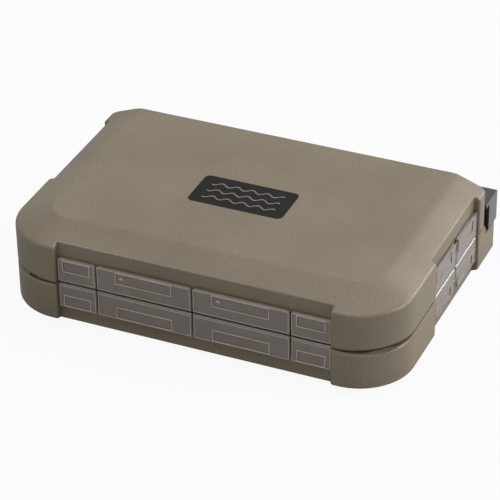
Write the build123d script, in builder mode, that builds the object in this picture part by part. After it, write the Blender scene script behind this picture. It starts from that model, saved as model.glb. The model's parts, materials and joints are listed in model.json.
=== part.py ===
"""Double-sided lure box: two shallow shells joined along the back by a pinned hinge.

Each shell is a tray of eight compartments whose open side faces the parting plane. Every compartment
has its own smoke-coloured lid. A lid's grip lip folds down outside the shell wall, in the recess
between the corner bumpers, so that the lips show from outside when the box is shut.

Frame: +Z up, the box lies flat and shut on its lower panel. X runs along the length, -Y is the front.
The origin is the middle of the underside. Depths are measured back from the front face.
Every piece is modelled in the lower half, and the upper half is its mirror image.
"""

import os

from build123d import *

# Driving sizes of one shell, in millimetres
shell_length = 205.0
shell_depth = 128.0
half_height = 26.5
side_height = 20.5
side_slope_inset = 16.0
front_slope_inset = 18.5
front_corner_radius = 28.0
rear_corner_radius = 4.0
panel_front_corner_radius = 14.0
parting_gap = 0.3
rim_fillet = 2.0
panel_fillet = 20.0
parting_edge_height = 1.9
parting_edge_inset = 0.6
recess_edge_fillet = 1.0

# Walls, floor and compartments
front_recess_depth = 4.2
side_recess_depth = 3.2
wall_thickness = 2.0
floor_thickness = 2.0
divider_thickness = 2.0
seat_width = 1.2

# Recesses between the corner bumpers
front_bumper_length = 31.5
side_recess_start = 56.5
rear_bumper_length = 10.0

# Lids
lid_thickness = 1.3
lid_gap = 0.3
lid_side_gap = 0.35
lip_thickness = 1.6
lip_wall_gap = 0.4
lip_height = 13.5
lip_corner_fillet = 1.4
lip_turn_fillet = 1.2
lip_edge_chamfer = 0.4
small_lip_length = 20.8
grip_margin = 10.5
small_grip_margin = 3.2
side_grip_margin = 6.5
grip_height = 5.6
grip_depth = 0.3
grip_from_edge = 1.2

# Lid hinges: a barrel between two posts, with a short pin at each end
barrel_radius = 1.5
barrel_gap = 0.3
pin_radius = 0.9
pin_length = 1.0
pin_clearance = 0.06
post_width = 2.6
post_end_gap = 0.2
post_front_gap = 1.0

# Rear hinge
ledge_depth = 16.5
ledge_below_parting = 5.0
bar_height = 17.0
bar_wall = 2.2
bar_front_gap = 4.5
bar_gap = 0.3
bar_edge_fillet = 1.2
tab_width = 9.0
tab_thickness = 1.4
tab_clearance = 0.1
tab_count = 4
tab_spacing = 50.0
axle_offset = 0.2
knuckle_radius = 2.4
knuckle_width = 12.0
knuckle_gap = 0.4
knuckle_count = 13
axle_radius = 1.0
axle_clearance = 0.06
notch_clearance = 0.5

# Snap catches and finger scoops in the front bumpers
catch_from_recess = 6.5
catch_width = 8.0
catch_thickness = 1.3
catch_height = 3.5
catch_from_front = 2.6
catch_clearance = 0.35
scoop_radius = 45.0
scoop_depth = 0.7
scoop_reach = 3.0

# Places worked out from the sizes above
end_x = shell_length / 2
parting_z = half_height
total_depth = shell_depth + ledge_depth + axle_offset + knuckle_radius
front_y = -total_depth / 2
back_y = front_y + shell_depth
rear_face_y = back_y + ledge_depth
axle_y = rear_face_y + axle_offset
rim_z = half_height - side_height
top_z = half_height - parting_gap / 2
recess_end_x = end_x - front_bumper_length
recess_front_y = front_y + side_recess_start
recess_back_y = back_y - rear_bumper_length
side_inset = side_recess_depth + wall_thickness
front_inset = front_recess_depth + wall_thickness
lid_top_z = half_height - lid_gap
lid_under_z = lid_top_z - lid_thickness
bed_z = lid_under_z - lid_gap
barrel_z = lid_top_z - barrel_radius
slope_rise = rim_z
cavity_rim_z = slope_rise * (1 - side_inset / side_slope_inset) + floor_thickness
ledge_top_z = half_height - ledge_below_parting
column_x = recess_end_x - small_lip_length
inner_x = end_x - side_inset
catch_x = recess_end_x + catch_from_recess
inner_front_y = front_y + front_inset
middle_y = (recess_front_y + recess_back_y) / 2
barrel_setback = barrel_gap + barrel_radius
post_depth = barrel_setback + barrel_radius
knuckle_pitch = knuckle_width + knuckle_gap
axle_length = (knuckle_count - 1) * knuckle_pitch + knuckle_width
grip_low_z = lid_top_z - lip_height + grip_from_edge
tall = 2 * half_height

os.makedirs("parts", exist_ok=True)


def outline_wire(side_in, front_in, front_radius, rear_radius, rear_y):
    """Plan outline: wide round corners at the front, tight ones at the back."""
    x = end_x - side_in
    y = front_y + front_in
    return FilletPolyline(
        (-x, y), (x, y), (x, rear_y), (-x, rear_y),
        radius=[front_radius, front_radius, rear_radius, rear_radius],
        close=True,
    )


def open_outline(side_in, front_in, radius, rear_y):
    """Plan outline with round front corners and square ones at the back."""
    x = end_x - side_in
    y = front_y + front_in
    FilletPolyline((-x, rear_y), (-x, y), (x, y), (x, rear_y), radius=radius)
    Line((x, rear_y), (-x, rear_y))


def dish(side_in, front_in, corner, rear_y, low_z, middle_z, high_z):
    """Upright sides above sloping margins that lead down to the flat panel."""
    with BuildPart() as form:
        with BuildSketch(Plane.XY.offset(middle_z)) as rim:
            with BuildLine():
                open_outline(side_in, front_in, corner, rear_y)
            make_face()
        extrude(amount=high_z - middle_z)
        add(rim.sketch)
        with BuildSketch(Plane.XY.offset(low_z)):
            with BuildLine():
                open_outline(side_slope_inset, front_slope_inset, panel_front_corner_radius,
                             rear_y)
            make_face()
        loft(ruled=True)
    return form.part


def rim_edges(part, z, rear_y):
    """Edges of the front and the sides that lie at one height."""
    level = part.edges().filter_by_position(Axis.Z, z - 0.01, z + 0.01)
    return level.filter_by(lambda edge: edge.center().Y < rear_y - 1)


def outer_form(rear_y):
    """The shell before it is hollowed: softened rims, and rounded corners at the back."""
    with BuildPart() as form:
        add(dish(0, 0, front_corner_radius, rear_y, 0, rim_z, top_z))
        fillet(rim_edges(form, rim_z, rear_y), rim_fillet)
        fillet(rim_edges(form, 0, rear_y), panel_fillet)
        chamfer(rim_edges(form, top_z, rear_y), parting_edge_inset, parting_edge_height,
                reference=form.faces().sort_by(Axis.Z)[-1])
        with BuildSketch():
            with BuildLine():
                outline_wire(0, 0, front_corner_radius, rear_corner_radius, rear_y)
            make_face()
        extrude(amount=tall, mode=Mode.INTERSECT)
    return form.part


def box_between(x0, x1, y0, y1, z0, z1, mode=Mode.ADD):
    """A block given by its six sides."""
    with Locations(((x0 + x1) / 2, (y0 + y1) / 2, (z0 + z1) / 2)):
        Box(x1 - x0, y1 - y0, z1 - z0, mode=mode)


def knuckle_places(first):
    """Middles of every second knuckle along the back."""
    start = -(knuckle_count - 1) / 2
    return [(start + i) * knuckle_pitch for i in range(first, knuckle_count, 2)]


def cavity():
    """The hollow of one tray, with a seat for the lids just under the parting plane."""
    return dish(side_inset, front_inset, front_corner_radius - side_inset, back_y - wall_thickness,
                floor_thickness, cavity_rim_z, tall)


def lid_seat():
    """The room round the lids' edges, and the lowered wall tops inside the recesses."""
    corner = front_corner_radius - side_inset + seat_width
    with BuildPart() as seat:
        with BuildSketch(Plane.XY.offset(bed_z)):
            with BuildLine():
                open_outline(side_inset - seat_width, front_inset - seat_width, corner,
                             back_y - wall_thickness)
            make_face()
        extrude(amount=tall)
        box_between(-recess_end_x, recess_end_x, front_y - 1, inner_front_y, bed_z, tall)
        box_between(-end_x - 1, end_x + 1, recess_front_y, recess_back_y, bed_z, tall)
    return seat.part


def shell(rear_y):
    """One tray with its corner bumpers. The lower one runs on behind as a ledge."""
    with BuildPart() as tray:
        add(outer_form(rear_y))
        if rear_y > back_y:
            box_between(-end_x - 1, end_x + 1, back_y, rear_face_y + 1, ledge_top_z, tall,
                        mode=Mode.SUBTRACT)
            box_between(-inner_x, inner_x, back_y, rear_face_y - wall_thickness, cavity_rim_z,
                        tall, mode=Mode.SUBTRACT)
        box_between(-recess_end_x, recess_end_x, front_y - 1, front_y + front_recess_depth,
                    -1, tall, mode=Mode.SUBTRACT)
        for side in (-1, 1):
            x = sorted((side * (end_x - side_recess_depth), side * (end_x + 1)))
            box_between(x[0], x[1], recess_front_y, recess_back_y, -1, tall, mode=Mode.SUBTRACT)
        fillet(bumper_ends(tray) + recess_rims(tray), recess_edge_fillet)
        cut_scoops()
        add(cavity(), mode=Mode.SUBTRACT)
        add(lid_seat(), mode=Mode.SUBTRACT)
    return tray.part


def bumper_ends(tray):
    """The upright outer edges where the bumpers end at the recesses."""

    def on_end(edge):
        x = abs(edge.center().X)
        y = edge.center().Y
        at_front = abs(x - recess_end_x) < 0.01 and abs(y - front_y) < 0.01
        at_side = min(abs(y - recess_front_y), abs(y - recess_back_y)) < 0.01
        return at_front or (at_side and abs(x - end_x) < 0.01)

    return tray.edges().filter_by(Axis.Z).filter_by(on_end)


def recess_rims(tray):
    """The long lower edges of the three recess walls."""
    wall_y = front_y + front_recess_depth
    wall_x = end_x - side_recess_depth
    front = tray.edges().filter_by_position(Axis.Y, wall_y - 0.01, wall_y + 0.01)
    sides = tray.edges().filter_by(lambda edge: abs(abs(edge.center().X) - wall_x) < 0.01)
    return (front + sides).filter_by(lambda edge: 0 < edge.center().Z < rim_z)


def cut_scoops():
    """Shallow finger scoops in the parting edge at both front corners."""
    for side in (-1, 1):
        middle = Vector(side * (end_x - front_corner_radius), front_y + front_corner_radius, 0)
        outward = Vector(side, -1, 0).normalized()
        place = middle + outward * (front_corner_radius - scoop_reach / 2 + 1)
        place += Vector(0, 0, top_z - scoop_depth + scoop_radius)
        with Locations(Plane(origin=place, z_dir=outward).location):
            Cylinder(scoop_radius, scoop_reach + 2, mode=Mode.SUBTRACT)


def add_catches():
    """Upright tongues on the lower front bumpers."""
    for side in (-1, 1):
        x = side * catch_x
        y = front_y + catch_from_front
        box_between(x - catch_width / 2, x + catch_width / 2, y, y + catch_thickness,
                    half_height - catch_height, half_height + catch_height)


def cut_catch_slots():
    """Slots that take the tongues, cut in the mirrored frame of the upper shell."""
    room = catch_clearance
    for side in (-1, 1):
        x = side * catch_x
        y = front_y + catch_from_front
        box_between(x - catch_width / 2 - room, x + catch_width / 2 + room, y - room,
                    y + catch_thickness + room, half_height - catch_height - 1, tall,
                    mode=Mode.SUBTRACT)


def add_lower_knuckles():
    """Posts on the ledge's rear wall that carry every second knuckle."""
    wall = rear_face_y - wall_thickness
    for x in knuckle_places(1):
        half = knuckle_width / 2
        box_between(x - half, x + half, wall, rear_face_y, ledge_top_z - 1, half_height)
        with Locations(Location((x, axle_y, half_height), (0, 90, 0))):
            Cylinder(knuckle_radius, knuckle_width)
    with Locations(Location((0, axle_y, half_height), (0, 90, 0))):
        Cylinder(axle_radius, axle_length, mode=Mode.SUBTRACT)


def lower_shell():
    with BuildPart() as part:
        add(shell(rear_face_y))
        add_catches()
        add_lower_knuckles()
    return part.part


def upper_shell():
    with BuildPart() as part:
        add(shell(back_y))
        cut_catch_slots()
        for x in tab_places():
            half = tab_width / 2 + tab_clearance
            box_between(x - half, x + half, back_y - wall_thickness - 1, back_y + 1,
                        tab_low_z - tab_clearance, tab_low_z + tab_thickness + tab_clearance,
                        mode=Mode.SUBTRACT)
    return part.part


bar_low_z = half_height - bar_height + ledge_below_parting
tab_low_z = bar_low_z + (bar_wall - tab_thickness) / 2


def tab_places():
    """Middles of the clips that hold the hinge bar in the upper shell's back wall."""
    start = -(tab_count - 1) / 2
    return [(start + i) * tab_spacing for i in range(tab_count)]


def hinge_bar():
    """Smoke cover over the ledge that carries the upper half's knuckles, in the mirrored frame.

    Here its top plate is the lowest part and its open side faces up, past the parting plane.
    """
    high_z = half_height + ledge_below_parting - bar_gap
    wall = rear_face_y - bar_wall
    with BuildPart() as bar:
        box_between(-end_x, end_x, back_y, rear_face_y, bar_low_z, bar_low_z + bar_wall)
        box_between(-end_x, end_x, wall, rear_face_y, bar_low_z, high_z)
        for side in (-1, 1):
            x = sorted((side * end_x, side * (end_x - bar_wall)))
            box_between(x[0], x[1], back_y + bar_front_gap, rear_face_y, bar_low_z, high_z)
        rear_rim = bar.faces().sort_by(Axis.Z)[0].edges().sort_by(Axis.Y)[-1]
        fillet(rear_rim, bar_edge_fillet)
        for x in tab_places():
            box_between(x - tab_width / 2, x + tab_width / 2, back_y - wall_thickness - 0.4,
                        back_y + 1, tab_low_z, tab_low_z + tab_thickness)
        for x in knuckle_places(1):
            half = knuckle_width / 2 + knuckle_gap
            box_between(x - half, x + half, wall - 1, rear_face_y + 1,
                        half_height - knuckle_radius - notch_clearance, tall,
                        mode=Mode.SUBTRACT)
        for x in knuckle_places(0):
            with Locations(Location((x, axle_y, half_height), (0, 90, 0))):
                Cylinder(knuckle_radius, knuckle_width)
        with Locations(Location((0, axle_y, half_height), (0, 90, 0))):
            Cylinder(axle_radius + axle_clearance, axle_length, mode=Mode.SUBTRACT)
    return bar.part


def hinge_pin():
    """Steel axle through all the knuckles."""
    with BuildPart() as pin:
        with Locations(Location((0, axle_y, half_height), (0, 90, 0))):
            Cylinder(axle_radius, axle_length)
    return pin.part


def row_divider(back, post_xs):
    """Wall behind one row of compartments, with the posts that hold that row's lid hinges."""
    axis_y = back - barrel_setback
    with BuildPart() as wall:
        box_between(-inner_x, inner_x, back, back + divider_thickness, 0, bed_z)
        for x in post_xs:
            box_between(x - post_width / 2, x + post_width / 2, back - post_depth, back, 0,
                        lid_top_z)
        add(cavity(), mode=Mode.INTERSECT)
        for x in post_xs:
            with Locations(Location((x, axis_y, barrel_z), (0, 90, 0))):
                Cylinder(pin_radius + pin_clearance, post_width + 2, mode=Mode.SUBTRACT)
    return wall.part


def partition(x, row_front, row_back):
    """Short wall between two neighbours in a row, up to the post behind it."""
    with BuildPart() as wall:
        box_between(x - divider_thickness / 2, x + divider_thickness / 2, row_front,
                    row_back - post_depth, 0, bed_z)
        add(cavity(), mode=Mode.INTERSECT)
    return wall.part


def add_lid_hinge(x0, x1, axis_y, plate_back):
    """Barrel, end pins and the strap that joins them to the plate, between two posts."""
    box_between(x0, x1, plate_back - 1, axis_y, lid_under_z, lid_top_z)
    with Locations(Location(((x0 + x1) / 2, axis_y, barrel_z), (0, 90, 0))):
        Cylinder(barrel_radius, x1 - x0)
        Cylinder(pin_radius, x1 - x0 + 2 * pin_length)


def front_lid(x0, x1, lip_x0, lip_x1, post_x0, post_x1):
    """Lid of a front compartment: its grip lip is on the edge away from the hinge."""
    axis_y = recess_front_y - barrel_setback
    plate_back = recess_front_y - post_depth - post_front_gap
    lip_front = front_y + front_recess_depth - lip_wall_gap - lip_thickness
    edge_y = inner_front_y - seat_width + lid_side_gap
    lip_middle = (lip_x0 + lip_x1) / 2
    margin = grip_margin if lip_x1 - lip_x0 > small_lip_length else small_grip_margin
    with BuildPart() as lid:
        with BuildSketch(Plane.XY.offset(lid_under_z)):
            with BuildLine():
                outline_wire(side_inset - seat_width + lid_side_gap,
                             front_inset - seat_width + lid_side_gap,
                             front_corner_radius - side_inset + seat_width - lid_side_gap,
                             rear_corner_radius, back_y)
            make_face()
        extrude(amount=lid_thickness)
        box_between(x0, x1, edge_y, plate_back, 0, tall, mode=Mode.INTERSECT)
        box_between(lip_x0, lip_x1, lip_front + lip_thickness, edge_y + 1, lid_under_z, lid_top_z)
        with BuildSketch(Plane.XZ.offset(-lip_front - lip_thickness)):
            with Locations((lip_middle, lid_top_z - lip_height / 2)):
                Rectangle(lip_x1 - lip_x0, lip_height)
            fillet(vertices().group_by(Axis.Y)[0], lip_corner_fillet)
        extrude(amount=lip_thickness)
        face = lid.faces().sort_by(Axis.Y)[0]
        chamfer(face.edges().sort_by(Axis.Z)[:-1], lip_edge_chamfer)
        fillet(lid.edges().filter_by(Axis.X).group_by(Axis.Z)[-1].sort_by(Axis.Y)[0], lip_turn_fillet)
        box_between(lip_x0 + margin, lip_x1 - margin, lip_front - 1, lip_front + grip_depth,
                    grip_low_z, grip_low_z + grip_height, mode=Mode.SUBTRACT)
        add_lid_hinge(post_x0 + post_end_gap, post_x1 - post_end_gap, axis_y, plate_back)
    return lid.part


def side_lid(row_front, row_back):
    """Lid of a long compartment on the right, with its lip at the outer end.

    The lip turns in its own plane about the hinge, so its front edge is an arc round that axis.
    """
    axis_y = row_back - barrel_setback
    plate_back = row_back - post_depth - post_front_gap
    lip_outer = end_x - side_recess_depth + lip_wall_gap + lip_thickness
    reach = axis_y - row_front - lid_side_gap
    lip_back = row_back - lid_side_gap
    with BuildPart() as lid:
        box_between(lid_side_gap, lip_outer - lip_thickness, row_front + lid_side_gap, plate_back,
                    lid_under_z, lid_top_z)
        with BuildSketch(Plane.YZ.offset(lip_outer - lip_thickness)):
            with Locations(((row_front + lid_side_gap + lip_back) / 2, lid_top_z - lip_height / 2)):
                Rectangle(lip_back - row_front - lid_side_gap, lip_height)
            with Locations((axis_y, barrel_z)):
                Circle(reach, mode=Mode.INTERSECT)
            fillet(vertices().sort_by(Axis.X)[-2:], lip_corner_fillet)
        extrude(amount=lip_thickness)
        face = lid.faces().sort_by(Axis.X)[-1]
        chamfer(face.edges().sort_by(Axis.Z)[:-1], lip_edge_chamfer)
        fillet(lid.edges().filter_by(Axis.Y).group_by(Axis.Z)[-1].sort_by(Axis.X)[-1], lip_turn_fillet)
        box_between(lip_outer - grip_depth, lip_outer + 1, row_front + side_grip_margin,
                    row_back - side_grip_margin, grip_low_z, grip_low_z + grip_height,
                    mode=Mode.SUBTRACT)
        add_lid_hinge(post_width / 2 + post_end_gap, inner_x - post_width - post_end_gap, axis_y,
                      plate_back)
    return lid.part


def write_pair(part, name):
    """Writes a piece of the lower half and its mirror image in the upper half."""
    write(part, f"lower_{name}")
    write(mirror(part, about=Plane.XY.offset(parting_z)), f"upper_{name}")


def write(part, name):
    part.label = name
    export_step(part, f"parts/{name}.step")


def write_front_lids():
    """Four lids in the front row. The outer two run on under the corner bumpers."""
    gap = lid_side_gap
    edges = [-end_x, -column_x, 0, column_x, end_x]
    posts = [-inner_x + post_width / 2, -column_x, 0, column_x, inner_x - post_width / 2]
    for i in range(4):
        lip_x0 = max(edges[i], -recess_end_x) + gap
        lip_x1 = min(edges[i + 1], recess_end_x) - gap
        lid = front_lid(edges[i] + gap, edges[i + 1] - gap, lip_x0, lip_x1,
                        posts[i] + post_width / 2, posts[i + 1] - post_width / 2)
        write_pair(lid, f"front_lid_{i + 1}")


def write_side_lids():
    """Two rows of two long lids, whose lips show at the ends of the box."""
    rows = {"middle": (recess_front_y, middle_y), "rear": (middle_y, recess_back_y)}
    for row, (row_front, row_back) in rows.items():
        right = side_lid(row_front, row_back)
        write_pair(right, f"{row}_lid_right")
        write_pair(mirror(right, about=Plane.YZ), f"{row}_lid_left")


def write_dividers():
    """The three cross walls with their hinge posts, and the short partitions between them."""
    ends = inner_x - post_width / 2
    write_pair(row_divider(recess_front_y, [-ends, -column_x, 0, column_x, ends]), "front_divider")
    write_pair(row_divider(middle_y, [-ends, 0, ends]), "middle_divider")
    write_pair(row_divider(recess_back_y, [-ends, 0, ends]), "rear_divider")
    for i, x in enumerate((-column_x, 0, column_x)):
        write_pair(partition(x, front_y, recess_front_y), f"front_partition_{i + 1}")
    write_pair(partition(0, recess_front_y + divider_thickness, middle_y), "middle_partition")
    write_pair(partition(0, middle_y + divider_thickness, recess_back_y), "rear_partition")


def main():
    turn = Plane.XY.offset(parting_z)
    write(lower_shell(), "lower_shell")
    write(mirror(upper_shell(), about=turn), "upper_shell")
    write(mirror(hinge_bar(), about=turn), "hinge_bar")
    write(hinge_pin(), "hinge_pin")
    write_dividers()
    write_front_lids()
    write_side_lids()


main()
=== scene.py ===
# %% [markdown]
# # A double-sided lure box
# The box is two shallow olive shells that close face to face, with a row of smoke-coloured lid lips
# along the front and the ends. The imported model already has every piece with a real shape, and each
# of them moves there as it should. So this lesson keeps nearly all of them as they are and gives each
# one the finish of its plastic or steel. It sets refined copies of the two shells in their place, and
# adds what is easier to make here: the moulded frames on the lips, a plain printed patch on the top
# panel, and the studio round the box.

import json
from math import cos, pi, radians, sin, sqrt, tan

import bmesh
import bpy
from mathutils import Matrix, Vector


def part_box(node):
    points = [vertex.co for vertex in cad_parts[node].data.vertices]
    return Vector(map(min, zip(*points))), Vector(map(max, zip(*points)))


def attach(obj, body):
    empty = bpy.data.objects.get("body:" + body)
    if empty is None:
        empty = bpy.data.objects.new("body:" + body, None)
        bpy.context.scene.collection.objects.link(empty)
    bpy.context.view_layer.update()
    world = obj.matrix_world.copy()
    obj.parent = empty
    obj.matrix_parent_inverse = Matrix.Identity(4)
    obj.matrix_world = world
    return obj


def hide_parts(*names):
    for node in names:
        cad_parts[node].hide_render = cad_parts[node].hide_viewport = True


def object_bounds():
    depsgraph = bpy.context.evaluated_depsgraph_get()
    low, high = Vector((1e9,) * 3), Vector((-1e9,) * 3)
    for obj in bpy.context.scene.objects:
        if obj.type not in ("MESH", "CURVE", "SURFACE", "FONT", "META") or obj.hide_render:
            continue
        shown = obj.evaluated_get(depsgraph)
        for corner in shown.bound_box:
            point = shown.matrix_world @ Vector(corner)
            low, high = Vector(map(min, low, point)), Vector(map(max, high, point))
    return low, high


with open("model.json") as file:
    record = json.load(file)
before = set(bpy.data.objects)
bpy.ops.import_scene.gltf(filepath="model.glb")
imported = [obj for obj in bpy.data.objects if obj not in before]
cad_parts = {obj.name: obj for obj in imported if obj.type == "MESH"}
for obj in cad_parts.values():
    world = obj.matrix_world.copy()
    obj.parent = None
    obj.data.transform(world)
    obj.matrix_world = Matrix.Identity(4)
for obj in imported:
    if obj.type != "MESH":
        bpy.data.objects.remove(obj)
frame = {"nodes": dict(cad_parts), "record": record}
cad_low, cad_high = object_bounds()
MM = 0.001
PARTING = (cad_low.z + cad_high.z) / 2
print("pieces from the packed model:", len(frame["nodes"]))
print("size in millimetres:", [round(v / MM, 1) for v in cad_high - cad_low])

# %% [markdown]
# ## Looking from where the photograph was taken
# The camera stands to the front right, about a third of the way up, and uses a long lens, so that the
# box shows hardly any perspective. Its angles came from matching the straight edges of the box. It is
# aimed at a point near the middle, and the small roll is the tilt of the hand-held picture.

# %% Camera
CAMERA_AZIMUTH = radians(24.07)
CAMERA_ELEVATION = radians(32.78)
CAMERA_ROLL = radians(-0.94)
CAMERA_DISTANCE = 1.232
CAMERA_LENS = 179.6
AIM_BEHIND_FRONT = 72.4 * MM
AIM_HEIGHT = 20.0 * MM
AIM_SIDE = -0.8 * MM
SENSOR_WIDTH = 36.0
NEAREST_SEEN = 0.05
FARTHEST_SEEN = 20.0


def add_camera():
    """A camera at the photograph's angle, built from its three angles."""
    front_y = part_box("lower_shell")[0].y
    aim = Vector((AIM_SIDE, front_y + AIM_BEHIND_FRONT, AIM_HEIGHT))
    back = Vector((
        sin(CAMERA_AZIMUTH) * cos(CAMERA_ELEVATION),
        -cos(CAMERA_AZIMUTH) * cos(CAMERA_ELEVATION),
        sin(CAMERA_ELEVATION),
    ))
    right = Vector((0, 0, 1)).cross(back).normalized()
    up = back.cross(right)
    rolled_right = right * cos(CAMERA_ROLL) + up * sin(CAMERA_ROLL)
    rolled_up = up * cos(CAMERA_ROLL) - right * sin(CAMERA_ROLL)
    turn = Matrix((rolled_right, rolled_up, back)).transposed().to_4x4()
    data = bpy.data.cameras.new("camera")
    data.lens = CAMERA_LENS
    data.sensor_width = SENSOR_WIDTH
    data.clip_start = NEAREST_SEEN
    data.clip_end = FARTHEST_SEEN
    camera = bpy.data.objects.new("camera", data)
    camera.matrix_world = Matrix.Translation(aim + back * CAMERA_DISTANCE) @ turn
    bpy.context.scene.collection.objects.link(camera)
    bpy.context.scene.camera = camera
    return camera


camera = add_camera()
print("camera stands at", [round(v, 3) for v in camera.matrix_world.translation])

# %% [markdown]
# ## A small kit for materials
# Every finish below is one Principled shader. Colours in a paint program are written from 0 to 255
# in sRGB, while the shader wants linear light, so one helper turns the first into the second.

# %% Colour and node helpers


def linear(red, green, blue):
    """An sRGB colour of 0 to 255 as linear light with full alpha."""

    def channel(value):
        share = value / 255
        if share <= 0.04045:
            return share / 12.92
        return ((share + 0.055) / 1.055) ** 2.4

    return (channel(red), channel(green), channel(blue), 1.0)


def new_material(name):
    """A material whose node tree has only its shader and its output."""
    material = bpy.data.materials.new(name)
    material.use_nodes = True
    tree = material.node_tree
    return material, tree, tree.nodes["Principled BSDF"]


def add_noise(tree, scale, detail, roughness):
    """Noise on the piece's own coordinates, so that it moves with the piece."""
    place = tree.nodes.new("ShaderNodeTexCoord")
    noise = tree.nodes.new("ShaderNodeTexNoise")
    noise.inputs["Scale"].default_value = scale
    noise.inputs["Detail"].default_value = detail
    noise.inputs["Roughness"].default_value = roughness
    tree.links.new(place.outputs["Object"], noise.inputs["Vector"])
    return noise


def add_ramp(tree, source, low, high, dark, light):
    """Turns a value into a colour between two, with the low and high ends of the change."""
    ramp = tree.nodes.new("ShaderNodeValToRGB")
    ramp.color_ramp.elements[0].position = low
    ramp.color_ramp.elements[0].color = dark
    ramp.color_ramp.elements[1].position = high
    ramp.color_ramp.elements[1].color = light
    tree.links.new(source, ramp.inputs["Fac"])
    return ramp


def add_bump(tree, source, strength, distance, below=None):
    """A bump from one value, laid over an earlier bump where one is given."""
    bump = tree.nodes.new("ShaderNodeBump")
    bump.inputs["Strength"].default_value = strength
    bump.inputs["Distance"].default_value = distance
    tree.links.new(source, bump.inputs["Height"])
    if below is not None:
        tree.links.new(below.outputs["Normal"], bump.inputs["Normal"])
    return bump


# %% [markdown]
# ## The shell's plastic
# The shells are moulded in a brownish olive, with a fine sandy grain that was etched into the mould
# and slow, faint clouds where the melt flowed. Grain could be a picture, but noise on the object's own
# coordinates needs no unwrapping and stays the same size on every wall. Two scales are enough: one of
# about half a millimetre for the grain, and one of several centimetres for the clouds. The grain
# changes the colour, the gloss and the height together, as it does on real moulded plastic.

# %% Shell plastic
SHELL_DARK = linear(118, 108, 89)
SHELL_LIGHT = linear(129, 118, 98)
GRAIN_SIZE = 0.45 * MM
CLOUD_SIZE = 45 * MM
GRAIN_IN_COLOUR = 0.75
SHELL_GLOSSIEST = 0.36
SHELL_DULLEST = 0.5
GRAIN_HEIGHT = 0.06 * MM
CLOUD_HEIGHT = 0.3 * MM


def make_shell_plastic():
    """Olive plastic with clouds and grain."""
    material, tree, shader = new_material("shell_plastic")
    clouds = add_noise(tree, 1 / CLOUD_SIZE, 3, 0.55)
    colour = add_ramp(tree, clouds.outputs["Fac"], 0.3, 0.7, SHELL_DARK, SHELL_LIGHT)
    grain = add_noise(tree, 1 / GRAIN_SIZE, 2, 0.6)
    speck = tree.nodes.new("ShaderNodeMix")
    speck.data_type = "RGBA"
    speck.blend_type = "SOFT_LIGHT"
    speck.inputs["Factor"].default_value = GRAIN_IN_COLOUR
    tree.links.new(colour.outputs["Color"], speck.inputs["A"])
    tree.links.new(grain.outputs["Fac"], speck.inputs["B"])
    tree.links.new(speck.outputs["Result"], shader.inputs["Base Color"])
    shine = tree.nodes.new("ShaderNodeMapRange")
    shine.inputs["To Min"].default_value = SHELL_GLOSSIEST
    shine.inputs["To Max"].default_value = SHELL_DULLEST
    tree.links.new(grain.outputs["Fac"], shine.inputs["Value"])
    tree.links.new(shine.outputs["Result"], shader.inputs["Roughness"])
    sink = add_bump(tree, clouds.outputs["Fac"], 0.15, CLOUD_HEIGHT)
    texture = add_bump(tree, grain.outputs["Fac"], 0.6, GRAIN_HEIGHT, sink)
    tree.links.new(texture.outputs["Normal"], shader.inputs["Normal"])
    shader.inputs["Specular IOR Level"].default_value = 0.5
    return material


shell_plastic = make_shell_plastic()
print("grain of", GRAIN_SIZE / MM, "mm on the shells")

# %% [markdown]
# ## Smoke plastic
# The lids are a smoke-tinted plastic that lets some of the olive behind them through. A fully clear
# shader would show every edge inside the box, and a solid one would look like paint. Part of the light
# is sent through, and the surface keeps a satin gloss with the faint flow marks of a thin moulding.
# The third and palest finish is a painted highlight: the thin ribs, rims and marks on the front lips
# get a paler smoke that stands for the light they catch.

# %% Smoke for the lids and the bar, and a painted highlight for the edges
PLASTIC_IOR = 1.49
FLOW_MARK_SIZE = 14 * MM
FLOW_MARK_HEIGHT = 0.15 * MM
FLOW_MARK_SHADE = 0.88
HAZE_BELOW = 0.04
HAZE_ABOVE = 0.06
COAT = 0.4
COAT_ROUGHNESS = 0.25


def make_smoke(name, colour, clear, roughness):
    """A tinted plastic that lets a share of the light through."""
    material, tree, shader = new_material(name)
    flow = add_noise(tree, 1 / FLOW_MARK_SIZE, 3, 0.5)
    dark = tuple(value * FLOW_MARK_SHADE for value in colour[:3]) + (1.0,)
    tint = add_ramp(tree, flow.outputs["Fac"], 0.3, 0.7, dark, colour)
    tree.links.new(tint.outputs["Color"], shader.inputs["Base Color"])
    haze = tree.nodes.new("ShaderNodeMapRange")
    haze.inputs["To Min"].default_value = roughness - HAZE_BELOW
    haze.inputs["To Max"].default_value = roughness + HAZE_ABOVE
    tree.links.new(flow.outputs["Fac"], haze.inputs["Value"])
    tree.links.new(haze.outputs["Result"], shader.inputs["Roughness"])
    ripple = add_bump(tree, flow.outputs["Fac"], 0.2, FLOW_MARK_HEIGHT)
    tree.links.new(ripple.outputs["Normal"], shader.inputs["Normal"])
    shader.inputs["IOR"].default_value = PLASTIC_IOR
    shader.inputs["Transmission Weight"].default_value = clear
    shader.inputs["Coat Weight"].default_value = COAT
    shader.inputs["Coat Roughness"].default_value = COAT_ROUGHNESS
    return material


lid_smoke = make_smoke("lid_smoke", linear(170, 160, 151), 0.5, 0.22)
bar_smoke = make_smoke("bar_smoke", linear(54, 44, 46), 0.3, 0.14)
# painted highlight: a pale smoke that stands for the light caught by the raised frames, beads and marks
# on the front lips
painted_highlight_smoke = make_smoke("painted_highlight_smoke", linear(218, 203, 184), 0.2, 0.2)
print("smoke plastics:", lid_smoke.name, bar_smoke.name, painted_highlight_smoke.name)

# %% [markdown]
# ## Steel for the hinge pin
# The pin is drawn rod. Drawing leaves fine lines along it, which a noise stretched along the length
# gives: the Mapping node squeezes the other two directions.

# %% Drawn steel
LINES_ALONG = 60
LINES_ACROSS = 4000
STEEL_GLOSSIEST = 0.22
STEEL_DULLEST = 0.4


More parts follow.
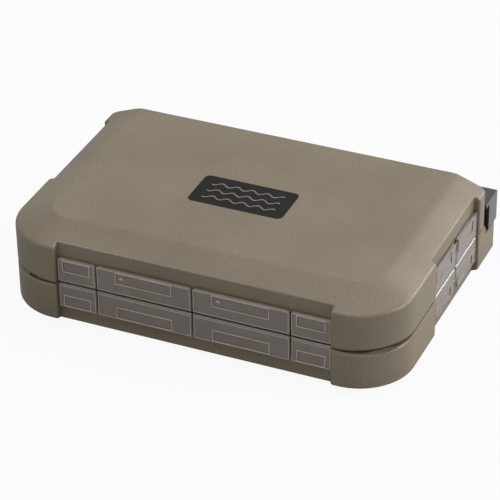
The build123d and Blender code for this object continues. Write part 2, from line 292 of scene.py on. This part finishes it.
def make_steel():
    """Bare steel with lines along X."""
    material, tree, shader = new_material("drawn_steel")
    place = tree.nodes.new("ShaderNodeTexCoord")
    squeeze = tree.nodes.new("ShaderNodeMapping")
    squeeze.inputs["Scale"].default_value = (LINES_ALONG, LINES_ACROSS, LINES_ACROSS)
    lines = tree.nodes.new("ShaderNodeTexNoise")
    lines.inputs["Scale"].default_value = 1.0
    tree.links.new(place.outputs["Object"], squeeze.inputs["Vector"])
    tree.links.new(squeeze.outputs["Vector"], lines.inputs["Vector"])
    polish = tree.nodes.new("ShaderNodeMapRange")
    polish.inputs["To Min"].default_value = STEEL_GLOSSIEST
    polish.inputs["To Max"].default_value = STEEL_DULLEST
    tree.links.new(lines.outputs["Fac"], polish.inputs["Value"])
    tree.links.new(polish.outputs["Result"], shader.inputs["Roughness"])
    shader.inputs["Base Color"].default_value = linear(196, 196, 198)
    shader.inputs["Metallic"].default_value = 1.0
    return material


steel = make_steel()
print("hinge pin:", steel.name)

# %% [markdown]
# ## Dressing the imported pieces
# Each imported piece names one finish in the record, so the new materials go on by that name. The mesh
# itself stays untouched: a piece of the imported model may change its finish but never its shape. Where
# another shape is wanted, a copy takes the piece's place.

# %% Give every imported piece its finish
finishes = {
    "shell_plastic": shell_plastic,
    "lid_smoke": lid_smoke,
    "bar_smoke": bar_smoke,
    "steel": steel,
}
for entry in frame["record"]["subparts"]:
    for place in frame["nodes"][entry["node"]].material_slots:
        place.material = finishes[entry["material_slot"]]

# %% [markdown]
# ## Adding a piece
# Every new piece ends the same way. Its bmesh becomes a mesh, the mesh gets a finish and an object, and
# the object rides on the body that carries it, so that it follows when the box opens.

# %% A helper that adds a piece


def new_piece(name, shape, material, body):
    """Makes an object of a finished bmesh and lets it ride on a body."""
    mesh = bpy.data.meshes.new(name)
    shape.to_mesh(mesh)
    shape.free()
    mesh.materials.append(material)
    piece = bpy.data.objects.new(name, mesh)
    bpy.context.scene.collection.objects.link(piece)
    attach(piece, body)
    return piece


# %% [markdown]
# ## Crisper edges and the shadow line between the shells
# The raised panel of each packed shell meets its slopes in a soft arc, and the real box has a crisper
# bend there. So the copies below pull each point of the arc most of the way back to where the two
# flats would meet.
#
# Where two mouldings meet, a small gap hides that they never match exactly, and on this box it opens
# into a finger scoop at both front corners. The shells are copied, their loose triangles are merged,
# and the band next to the parting is pushed away from it: a little everywhere, and more round the
# corners. Only these two places move, so the copies still fit everything that they carry.

# %% Refined copies of the shells
MERGE_DISTANCE = 0.001 * MM
SHARP_FROM = radians(15)
BAND = 1.9 * MM
LINE_OPENING = 0.35 * MM
SCOOP_OPENING = 1.0 * MM
CORNER_RADIUS = 28 * MM
HINGE_ROOM = 2 * MM
PANEL_ARC = 20 * MM
SLOPE = radians(18)
CRISPNESS = 0.8


def crisper_drop(drop):
    """How far below the raised panel a point of its soft edge lies once the edge is crisper."""
    if drop <= 0 or drop >= PANEL_ARC * (1 - cos(SLOPE)):
        return drop
    run = sqrt(2 * PANEL_ARC * drop - drop ** 2)
    sharp = max(0.0, (run - PANEL_ARC * tan(SLOPE / 2)) * tan(SLOPE))
    return drop + CRISPNESS * (sharp - drop)


def scoop_share(place, low, high):
    """How far a point is into a front corner's scoop, from 0 to 1."""
    across = abs(place.x) - (high.x - CORNER_RADIUS)
    ahead = (low.y + CORNER_RADIUS) - place.y
    if across <= 0 or ahead <= 0:
        return 0.0
    return 2 * across * ahead / (across ** 2 + ahead ** 2)


def refine_shell(node, body):
    """A copy of one shell with a crisper panel edge and a parting edge that stands back."""
    low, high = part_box(node)
    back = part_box("upper_shell")[1].y - HINGE_ROOM
    away = 1 if (low.z + high.z) / 2 > PARTING else -1
    panel = (cad_high.z - cad_low.z) / 2
    shape = bmesh.new()
    shape.from_mesh(frame["nodes"][node].data)
    bmesh.ops.remove_doubles(shape, verts=shape.verts, dist=MERGE_DISTANCE)
    for vertex in shape.verts:
        depth = (vertex.co.z - PARTING) * away
        vertex.co.z = PARTING + away * (panel - crisper_drop(panel - depth))
        if 0 < depth < BAND and vertex.co.y < back:
            opening = LINE_OPENING + SCOOP_OPENING * scoop_share(vertex.co, low, high)
            vertex.co.z += away * opening * (1 - depth / BAND)
    copy = new_piece(node + "_opened", shape, shell_plastic, body)
    copy.data.shade_smooth()
    copy.data.set_sharp_from_angle(angle=SHARP_FROM)
    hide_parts(node)


refine_shell("lower_shell", "lower_half")
refine_shell("upper_shell", "upper_half")
print("the parting line opens by", LINE_OPENING / MM, "mm on each side")

# %% [markdown]
# ## The moulded frames on the lips
# Each lip has a thin raised frame on its outer face, round the shallow grip. It is a fraction of a
# millimetre of relief. The front lips have a finer bead round the whole face as well. On the front,
# frames and beads wear the palest smoke, a painted highlight that stands for the light the relief
# catches; on the sides the frames have the faces' own finish. Either ring starts as one flat rectangle:
# an inset cuts a narrow border from it, the middle goes, and the border is pushed out.

# %% A flat ring


def raised_frame(width, height, border, relief):
    """A rectangular ring that lies flat on XY and stands up along Z."""
    shape = bmesh.new()
    bmesh.ops.create_grid(shape, x_segments=1, y_segments=1, size=0.5)
    bmesh.ops.scale(shape, vec=(width, height, 1), verts=shape.verts)
    bmesh.ops.inset_region(shape, faces=shape.faces[:], thickness=border, use_boundary=True,
                           use_even_offset=True)
    middle = min(shape.faces, key=lambda face: face.calc_center_median().length)
    bmesh.ops.delete(shape, geom=[middle], context="FACES_ONLY")
    pushed = bmesh.ops.extrude_face_region(shape, geom=shape.faces[:])
    moved = [part for part in pushed["geom"] if isinstance(part, bmesh.types.BMVert)]
    bmesh.ops.translate(shape, vec=(0, 0, relief), verts=moved)
    bmesh.ops.recalc_face_normals(shape, faces=shape.faces)
    return shape


# %% Where a lip's face and its grip are
FRONT = Vector((0, -1, 0))
FACE_TOLERANCE = 0.02 * MM
GRIP_TOLERANCE = 0.03 * MM
GRIP_DEPTH = 0.3 * MM
KEEP_OFF_PARTING = 3 * MM


def lip_points(node, outward):
    """All points of a lid, and how far the outermost reaches."""
    points = [vertex.co for vertex in frame["nodes"][node].data.vertices]
    return points, max(point.dot(outward) for point in points)


def corners(points):
    """Lowest and highest corner of some points."""
    low = Vector(tuple(min(point[i] for point in points) for i in range(3)))
    high = Vector(tuple(max(point[i] for point in points) for i in range(3)))
    return low, high


def face_corners(node, outward):
    """The corners of a lip's outer face."""
    points, reach = lip_points(node, outward)
    return corners([point for point in points if point.dot(outward) > reach - FACE_TOLERANCE])


def grip_corners(node, outward):
    """The corners of the shallow grip in a lip's outer face."""
    points, reach = lip_points(node, outward)
    floor = reach - GRIP_DEPTH
    return corners([
        point for point in points
        if abs(point.dot(outward) - floor) < GRIP_TOLERANCE
        and abs(point.z - PARTING) > KEEP_OFF_PARTING
    ])


grip_low, grip_high = grip_corners("upper_front_lid_2", FRONT)
print("a long lip's grip in millimetres:", [round(v / MM, 1) for v in grip_high - grip_low])

# %% Set a frame round each grip and a bead round each front lip
RIGHT = Vector((1, 0, 0))
LEFT = Vector((-1, 0, 0))
UP = Vector((0, 0, 1))
FRAME_WIDTH = 0.4 * MM
FRAME_RELIEF = 0.22 * MM
BEAD_WIDTH = 0.3 * MM
BEAD_RELIEF = 0.06 * MM
SUNK = 0.05 * MM


def facing(outward, middle):
    """Turns a shape made flat on XY so that its Z points outward, and puts it at a place."""
    turn = Matrix((UP.cross(outward), UP, outward)).transposed().to_4x4()
    return Matrix.Translation(middle) @ turn


def put_ring(node, outward, area, border, relief, finish, word):
    """A raised ring on a lip's outer face, with its outer edge on an area's corners."""
    low, high = area
    reach = lip_points(node, outward)[1]
    middle = (low + high) / 2
    middle += outward * (reach - SUNK - middle.dot(outward))
    across = (high.x - low.x) + (high.y - low.y)
    shape = raised_frame(across, high.z - low.z, border, relief + SUNK)
    shape.transform(facing(outward, middle))
    new_piece(f"{node}_{word}", shape, finish, node)


def frame_lip(node, outward):
    """A raised frame that lies just outside one grip."""
    low, high = grip_corners(node, outward)
    along = UP.cross(outward)
    grow = Vector((abs(along.x), abs(along.y), 1)) * FRAME_WIDTH
    # the front frames wear the painted highlight smoke, the side frames the lid's own smoke
    finish = painted_highlight_smoke if outward == FRONT else lid_smoke
    put_ring(node, outward, (low - grow, high + grow), FRAME_WIDTH, FRAME_RELIEF, finish, "frame")


lips = {}
for half in ("lower", "upper"):
    for number in (1, 2, 3, 4):
        lips[f"{half}_front_lid_{number}"] = FRONT
    for row in ("middle", "rear"):
        lips[f"{half}_{row}_lid_right"] = RIGHT
        lips[f"{half}_{row}_lid_left"] = LEFT
for node, outward in lips.items():
    frame_lip(node, outward)
front_lips = [node for node, outward in lips.items() if outward == FRONT]
# the beads wear the painted highlight smoke
for node in front_lips:
    put_ring(node, FRONT, face_corners(node, FRONT), BEAD_WIDTH, BEAD_RELIEF, painted_highlight_smoke, "bead")
print("frames on", len(lips), "lips and beads on", len(front_lips))

# %% [markdown]
# ## Lift marks
# The upper half's two long front lips have a small moulded triangle at the left end of the grip, which
# shows where to lift. A cone with three sides and no point is such a triangle, already solid.

# %% Lift marks on the long front lips
MARK_RADIUS = 1.3 * MM
MARK_RELIEF = 0.22 * MM
MARK_TAPER = 0.8
MARK_STRETCH = (1.25, 0.8, 1)


def add_mark(node):
    """A raised triangle inside the left end of one grip."""
    low, high = grip_corners(node, FRONT)
    reach = lip_points(node, FRONT)[1]
    shape = bmesh.new()
    bmesh.ops.create_cone(shape, cap_ends=True, segments=3, radius1=MARK_RADIUS,
                          radius2=MARK_RADIUS * MARK_TAPER, depth=MARK_RELIEF + SUNK)
    bmesh.ops.scale(shape, vec=MARK_STRETCH, verts=shape.verts)
    middle = Vector((low.x + 2 * MARK_RADIUS, 0, (low.z + high.z) / 2))
    middle += FRONT * (reach - GRIP_DEPTH + (MARK_RELIEF - SUNK) / 2)
    shape.transform(facing(FRONT, middle))
    # the mark wears the painted highlight smoke, a pale colour standing for the light it catches
    new_piece(node + "_mark", shape, painted_highlight_smoke, node)


for number in (2, 3):
    add_mark(f"upper_front_lid_{number}")
print("lift marks are", 2 * MARK_RADIUS / MM, "mm across")

# %% [markdown]
# ## The printed patch
# The top panel has one small dark print in its middle. Pad printing lays a few hundredths of a
# millimetre of ink, so the patch is a thin solid with round corners. Its design is a plain one: three
# rows of waves left open in the dark ground, made as thin pale strips bent by a sine.

# %% Two inks
SPECK_SIZE = 0.8 * MM
SPECK_HEIGHT = 0.02 * MM
INK_ROUGHNESS = 0.5
INK_GLOSS = 0.12
WORN_GAIN = 1.25
WORN_LIFT = 0.004


def make_ink(name, colour):
    """Matt ink with specks where it lies thinner."""
    material, tree, shader = new_material(name)
    cover = add_noise(tree, 1 / SPECK_SIZE, 2, 0.5)
    worn = tuple(min(1, value * WORN_GAIN + WORN_LIFT) for value in colour[:3]) + (1.0,)
    tone = add_ramp(tree, cover.outputs["Fac"], 0.35, 0.75, colour, worn)
    tree.links.new(tone.outputs["Color"], shader.inputs["Base Color"])
    film = add_bump(tree, cover.outputs["Fac"], 0.1, SPECK_HEIGHT)
    tree.links.new(film.outputs["Normal"], shader.inputs["Normal"])
    shader.inputs["Specular IOR Level"].default_value = INK_GLOSS
    shader.inputs["Roughness"].default_value = INK_ROUGHNESS
    return material


black_ink = make_ink("black_ink", linear(20, 20, 20))
bare_ink = make_ink("open_line", linear(138, 128, 112))
print("inks:", black_ink.name, bare_ink.name)

# %% The dark ground
PATCH_LENGTH = 50 * MM
PATCH_DEPTH = 25 * MM
PATCH_MIDDLE = (-1.9 * MM, -5.5 * MM)
PATCH_CORNER = 3 * MM
INK = 0.04 * MM


def add_patch():
    """The dark ground of the print."""
    shape = bmesh.new()
    bmesh.ops.create_cube(shape, size=1)
    bmesh.ops.scale(shape, vec=(PATCH_LENGTH, PATCH_DEPTH, 2 * INK), verts=shape.verts)
    upright = [edge for edge in shape.edges if abs(edge.verts[0].co.z - edge.verts[1].co.z) > INK]
    bmesh.ops.bevel(shape, geom=upright, offset=PATCH_CORNER, segments=8, affect="EDGES",
                    profile=0.5, material=-1, offset_type="OFFSET")
    bmesh.ops.translate(shape, vec=(*PATCH_MIDDLE, cad_high.z), verts=shape.verts)
    new_piece("top_print", shape, black_ink, "upper_half")


add_patch()
print("printed patch of", PATCH_LENGTH / MM, "by", PATCH_DEPTH / MM, "mm")

# %% The open waves
WAVE_ROWS = 3
WAVE_PITCH = 6 * MM
WAVE_HEIGHT = 1.1 * MM
WAVE_LENGTH = 8 * MM
WAVE_WIDTH = 0.7 * MM
WAVE_MARGIN = 6 * MM
WAVE_STEPS = 72
WAVE_LIFT = 0.01 * MM


def add_wave(row):
    """One open line of the print, as a strip bent by a sine."""
    run = PATCH_LENGTH - 2 * WAVE_MARGIN
    shape = bmesh.new()
    bmesh.ops.create_grid(shape, x_segments=WAVE_STEPS, y_segments=1, size=0.5)
    bmesh.ops.scale(shape, vec=(run, WAVE_WIDTH, 1), verts=shape.verts)
    for vertex in shape.verts:
        vertex.co.y += WAVE_HEIGHT * sin(2 * pi * vertex.co.x / WAVE_LENGTH)
    side = (row - (WAVE_ROWS - 1) / 2) * WAVE_PITCH
    place = Vector((PATCH_MIDDLE[0], PATCH_MIDDLE[1] + side, cad_high.z + INK + WAVE_LIFT))
    bmesh.ops.translate(shape, vec=place, verts=shape.verts)
    new_piece(f"top_print_wave_{row + 1}", shape, bare_ink, "upper_half")


for row in range(WAVE_ROWS):
    add_wave(row)
print("rows of waves:", WAVE_ROWS)

# %% [markdown]
# ## The studio
# The box lies on a plain pale floor. One wide soft light hangs over it, so that the top is bright and
# the front keeps some shade, and a smaller one stands on the right and brightens the end. A third
# stands behind on the right, where the right slope mirrors it to the camera as a pale sheen. The floor
# and the world show the camera a near white, while they light the box at their own plain levels. The
# floor lies a hair below the box, so that no two faces share one plane.

# %% Floor
FLOOR_SIZE = 12.0
FLOOR_GAP = 0.1 * MM
FLOOR_WHITE = 0.93
FLOOR_GREY = 0.6


def add_floor():
    """A grey floor that shows mostly white to the camera and keeps some of the shadow."""
    material, tree, shader = new_material("white_floor")
    shader.inputs["Base Color"].default_value = (FLOOR_GREY, FLOOR_GREY, FLOOR_GREY, 1)
    shader.inputs["Roughness"].default_value = 0.9
    shader.inputs["Specular IOR Level"].default_value = 0.1
    white = tree.nodes.new("ShaderNodeEmission")
    path = tree.nodes.new("ShaderNodeLightPath")
    share = tree.nodes.new("ShaderNodeMath")
    share.operation = "MULTIPLY"
    share.inputs[1].default_value = FLOOR_WHITE
    mix = tree.nodes.new("ShaderNodeMixShader")
    tree.links.new(path.outputs["Is Camera Ray"], share.inputs[0])
    tree.links.new(share.outputs["Value"], mix.inputs["Fac"])
    tree.links.new(shader.outputs["BSDF"], mix.inputs[1])
    tree.links.new(white.outputs["Emission"], mix.inputs[2])
    tree.links.new(mix.outputs["Shader"], tree.nodes["Material Output"].inputs["Surface"])
    shape = bmesh.new()
    bmesh.ops.create_grid(shape, x_segments=1, y_segments=1, size=FLOOR_SIZE / 2)
    bmesh.ops.translate(shape, vec=(0, 0, -FLOOR_GAP), verts=shape.verts)
    mesh = bpy.data.meshes.new("floor")
    shape.to_mesh(mesh)
    shape.free()
    mesh.materials.append(material)
    floor = bpy.data.objects.new("floor", mesh)
    bpy.context.scene.collection.objects.link(floor)


add_floor()
print("floor of", FLOOR_SIZE, "m")

# %% World
WORLD_LEVEL = 0.24


def set_world():
    """White to the camera and to gloss, and a plain level for everything else."""
    world = bpy.data.worlds.new("studio")
    bpy.context.scene.world = world
    world.use_nodes = True
    tree = world.node_tree
    plain = tree.nodes["Background"]
    plain.inputs["Color"].default_value = (1, 1, 1, 1)
    plain.inputs["Strength"].default_value = WORLD_LEVEL
    white = tree.nodes.new("ShaderNodeBackground")
    white.inputs["Strength"].default_value = 1.0
    path = tree.nodes.new("ShaderNodeLightPath")
    mix = tree.nodes.new("ShaderNodeMixShader")
    seen = path.outputs["Is Camera Ray"]
    for ray in ("Is Glossy Ray", "Is Transmission Ray"):
        either = tree.nodes.new("ShaderNodeMath")
        either.operation = "MAXIMUM"
        tree.links.new(seen, either.inputs[0])
        tree.links.new(path.outputs[ray], either.inputs[1])
        seen = either.outputs["Value"]
    tree.links.new(seen, mix.inputs["Fac"])
    tree.links.new(plain.outputs["Background"], mix.inputs[1])
    tree.links.new(white.outputs["Background"], mix.inputs[2])
    tree.links.new(mix.outputs["Shader"], tree.nodes["World Output"].inputs["Surface"])


set_world()
print("world level:", WORLD_LEVEL)

# %% Soft lights
LIGHTS_AIM = Vector((0, 0, 0.02))


def add_softbox(name, place, width, watts):
    """A square area light that faces the middle of the box."""
    data = bpy.data.lights.new(name, "AREA")
    data.size = width
    data.energy = watts
    light = bpy.data.objects.new(name, data)
    turn = (LIGHTS_AIM - Vector(place)).to_track_quat("-Z", "Y").to_matrix().to_4x4()
    light.matrix_world = Matrix.Translation(place) @ turn
    bpy.context.scene.collection.objects.link(light)


add_softbox("overhead", (-0.1, -0.3, 1.0), 0.7, 4.5)
add_softbox("right_side", (1.1, 0.25, 0.5), 0.5, 7.2)
add_softbox("back_right", (0.6, 0.9, 0.6), 0.4, 7.2)
bpy.context.scene.view_settings.view_transform = "Standard"
